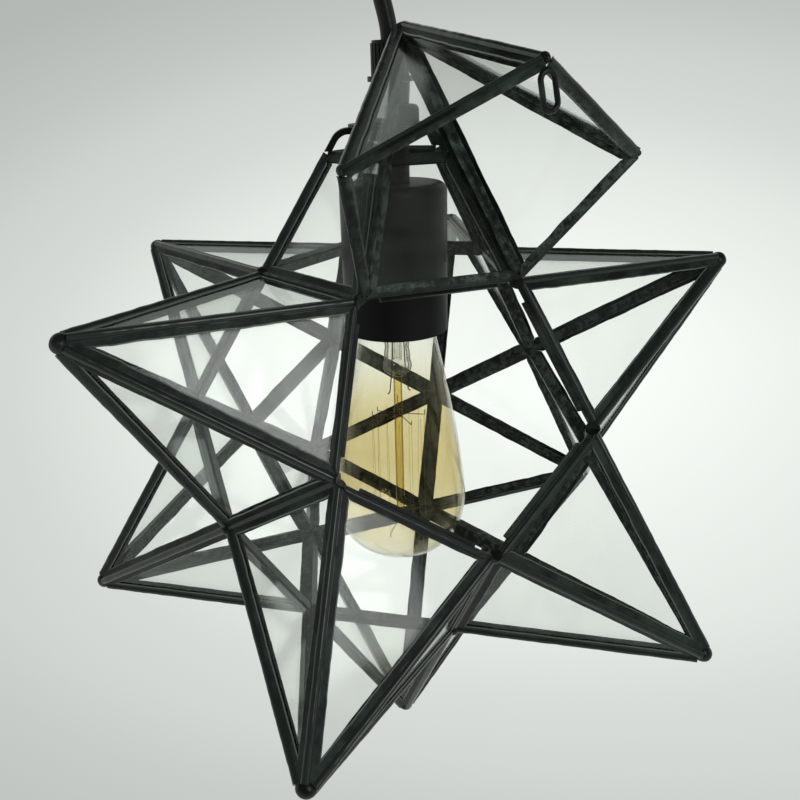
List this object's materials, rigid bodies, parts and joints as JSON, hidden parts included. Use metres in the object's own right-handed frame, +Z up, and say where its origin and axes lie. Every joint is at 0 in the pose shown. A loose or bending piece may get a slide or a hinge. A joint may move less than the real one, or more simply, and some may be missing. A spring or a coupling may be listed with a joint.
{
  "type": "star pendant lamp",
  "caption": "Glass star pendant lamp with a hinged point, a vented crown, a screw-cap lampholder and bulb, and a ceiling rose.",
  "frame": {"origin": "middle of the ceiling rose's rim, on the ceiling plane", "axes": "+Z up through the cord towards the ceiling, -Y towards the side with the door, +X to the right seen from that side"},
  "size_m": [0.293, 0.2792, 0.4315],
  "materials": {
    "star_glass": "clear",
    "foil": "black patina",
    "solder": "black patina, smooth",
    "wire": "tinned wire",
    "black_metal": "satin black",
    "zinc": "zinc plated",
    "holder": "matt black",
    "brass": "plain",
    "black_plastic": "gloss black",
    "cord_jacket": "smooth black jacket",
    "amber_glass": "pale amber, clear",
    "clear_glass": "clear",
    "amber_rod": "amber",
    "filament": "fine wire",
    "pale_plastic": "plain"
  },
  "bodies": {
    "frame": {"glass_top": "star_glass", "glass_upper_right": "star_glass", "glass_upper_back_right": "star_glass", "glass_upper_back_left": "star_glass", "glass_upper_left": "star_glass", "glass_bottom": "star_glass", "glass_lower_back": "star_glass", "glass_lower_right": "star_glass", "glass_lower_front_right": "star_glass", "glass_lower_front_left": "star_glass", "glass_lower_left": "star_glass", "ridges_top": "foil", "ridges_upper_right": "foil", "ridges_upper_back_right": "foil", "ridges_upper_back_left": "foil", "ridges_upper_left": "foil", "ridges_bottom": "foil", "ridges_lower_back": "foil", "ridges_lower_right": "foil", "ridges_lower_front_right": "foil", "ridges_lower_front_left": "foil", "ridges_lower_left": "foil", "vent_crossbars": "foil", "valleys_upper": "foil", "valleys_waist": "foil", "valleys_lower": "foil", "opening_rim": "foil", "core_solder": "solder", "tip_solder": "solder", "hinge_pin": "wire", "catch_arch": "solder", "crown_strips": "foil", "crown_plate": "black_metal", "clamp_nut": "black_metal", "spacer_tube": "black_metal", "threaded_tube": "zinc", "lamp_cup": "black_metal", "holder_body": "holder", "screw_shell": "brass", "centre_contact": "brass", "grip_base": "black_plastic", "cord_grip": "black_plastic", "inner_cord": "cord_jacket", "cord": "cord_jacket", "rose_cup": "black_metal", "rose_grip": "black_plastic", "ceiling_bracket": "zinc", "bracket_screws": "black_metal", "terminal_block": "pale_plastic"},
    "door": {"glass_door": "star_glass", "ridges_door": "foil", "door_foot_rim": "foil", "door_solder": "solder", "hinge_tube": "foil", "latch_loop": "solder"},
    "bulb": {"bulb_glass": "amber_glass", "bulb_cap": "brass", "bulb_stem": "clear_glass", "filament_rod": "amber_rod", "filament": "filament"}
  },
  "joints": [
    {"name": "door_hinge", "type": "hinge", "parent": "frame", "child": "door", "pos_m": [0, -0.04919, -0.18087], "axis": [1, 0, 0], "range_deg": [0, 113.5]},
    {"name": "bulb_unscrew", "type": "slide", "parent": "frame", "child": "bulb", "axis": [0, 0, -1], "range_m": [0, 0.03]}
  ]
}
